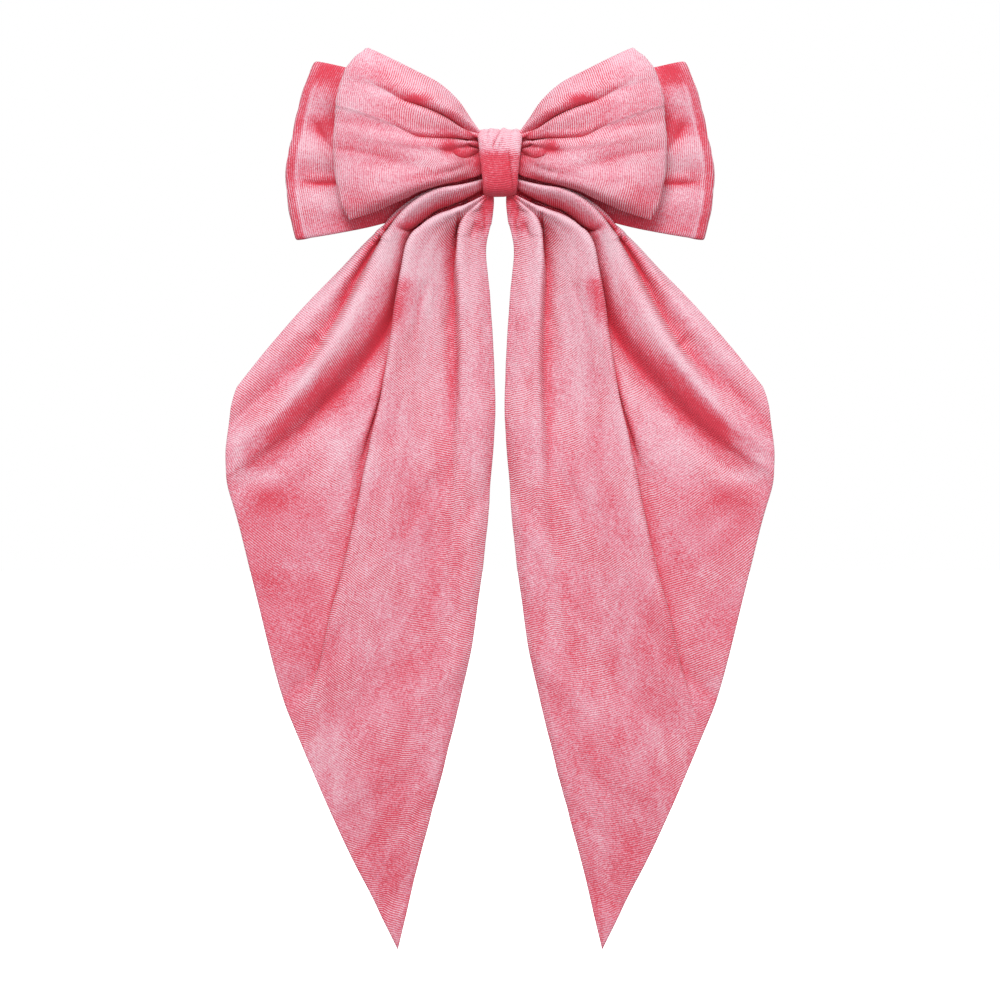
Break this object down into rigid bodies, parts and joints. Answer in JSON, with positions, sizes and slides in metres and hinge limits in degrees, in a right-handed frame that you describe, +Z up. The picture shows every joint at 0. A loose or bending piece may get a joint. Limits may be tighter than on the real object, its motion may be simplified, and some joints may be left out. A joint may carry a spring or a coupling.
{
  "type": "bow barrette",
  "caption": "Large ribbed velvet bow hair barrette: layered puffed loops, two long pointed tails, a wrapped knot and a hinged metal snap clip behind.",
  "frame": {"origin": "centre of the gap that the hair goes through, between the clasp arm and the tension bar at mid length", "axes": "+X along the clip towards its catch, +Y from the bow towards the head, +Z up as worn"},
  "size_m": [0.1824, 0.0369, 0.2994],
  "materials": {
    "velvet": "ribbed stretch velvet, soft sheen",
    "thread": "twisted polyester sewing thread",
    "clip_steel": "bright nickel plate, lightly scuffed",
    "spring_steel": "nickel-plated spring strip, satin",
    "glue": "set hot-melt glue, waxy"
  },
  "bodies": {
    "root": {"base_plate": "clip_steel", "hinge_pin": "clip_steel", "catch_base": "clip_steel", "catch_rivet": "clip_steel", "glue_pad": "glue", "back_bow": "velvet", "back_bow_thread": "thread", "tail_gather": "velvet", "tail_thread": "thread", "front_bow": "velvet", "front_bow_thread": "thread", "knot_strap": "velvet", "knot_stitches": "thread"},
    "arm": {"clasp_arm": "clip_steel"},
    "bar": {"tension_bar": "spring_steel"},
    "wing_upper": {"catch_wing_upper": "spring_steel"},
    "wing_lower": {"catch_wing_lower": "spring_steel"},
    "left_tail": {"left_tail": "velvet"},
    "right_tail": {"right_tail": "velvet"}
  },
  "joints": [
    {"name": "arm_hinge", "type": "hinge", "parent": "root", "child": "arm", "pos_m": [-0.034, 0.0052, 0], "axis": [0, 0, 1], "range_deg": [0, 100]},
    {"name": "bar_flex", "type": "hinge", "parent": "root", "child": "bar", "pos_m": [-0.0318, 0.0022, 0], "axis": [0, 0, -1], "range_deg": [0, 2.4], "stiffness_Nm_per_rad": 1.4},
    {"name": "wing_upper_squeeze", "type": "hinge", "parent": "root", "child": "wing_upper", "pos_m": [0.0336, 0.00261, 0.0034], "axis": [-1, 0, 0], "range_deg": [0, 10], "stiffness_Nm_per_rad": 0.0001},
    {"name": "wing_lower_squeeze", "type": "hinge", "parent": "root", "child": "wing_lower", "pos_m": [0.0336, 0.00261, -0.0034], "axis": [-1, 0, 0], "range_deg": [-10, 0]},
    {"name": "left_tail_swing", "type": "hinge", "parent": "root", "child": "left_tail", "pos_m": [0, -0.013, -0.0265], "axis": [1, 0, 0], "range_deg": [-45, 30]},
    {"name": "right_tail_swing", "type": "hinge", "parent": "root", "child": "right_tail", "pos_m": [0, -0.013, -0.0265], "axis": [1, 0, 0], "range_deg": [-45, 30]}
  ],
  "couplings": [
    {"joint": "wing_lower_squeeze", "follows": "wing_upper_squeeze", "ratio": -1}
  ]
}
